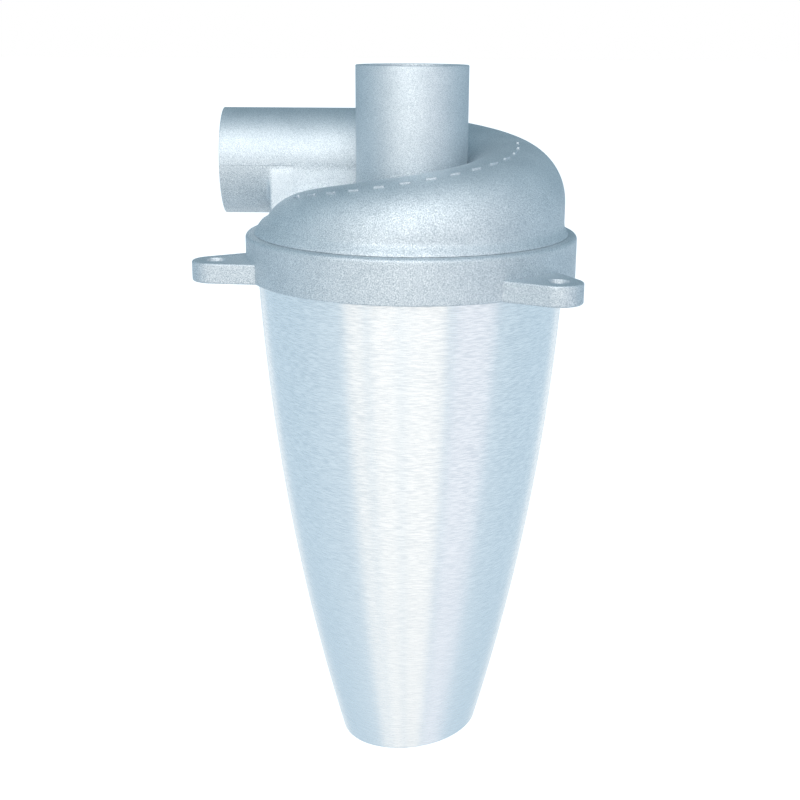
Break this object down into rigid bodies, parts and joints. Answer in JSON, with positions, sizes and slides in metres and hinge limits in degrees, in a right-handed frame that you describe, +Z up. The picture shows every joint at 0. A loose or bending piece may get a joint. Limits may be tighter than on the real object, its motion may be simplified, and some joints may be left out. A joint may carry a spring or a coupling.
{
  "type": "dust collector cyclone",
  "caption": "Cyclone dust collector with a cast aluminium scroll head, side inlet and top outlet spigots, a collar with bolt ears, and a spun aluminium cone open at the bottom.",
  "frame": {"origin": "on the cyclone's axis, in the plane of the ears' and the collar's undersides", "axes": "+Z up along the axis, -X the way the inlet points, +Y from the axis towards the side where the inlet runs"},
  "size_m": [0.1716, 0.1704, 0.3232],
  "materials": {
    "cast_aluminium": "bead-blasted sand casting, satin with a fine sparkling grain",
    "spun_aluminium": "spun, with fine brushed lines round the cone",
    "black_rubber": "matt moulded",
    "zinc_steel": "zinc-plated"
  },
  "bodies": {
    "root": {"volute_housing": "cast_aluminium", "outlet_tube": "cast_aluminium", "tube_seal_ring": "black_rubber", "mounting_collar": "cast_aluminium", "head_gasket": "black_rubber", "head_screw_1": "zinc_steel", "head_screw_2": "zinc_steel", "head_screw_3": "zinc_steel", "head_screw_4": "zinc_steel", "head_screw_5": "zinc_steel", "head_screw_6": "zinc_steel", "cone_shell": "spun_aluminium", "cone_seal_ring": "black_rubber"}
  },
  "joints": []
}
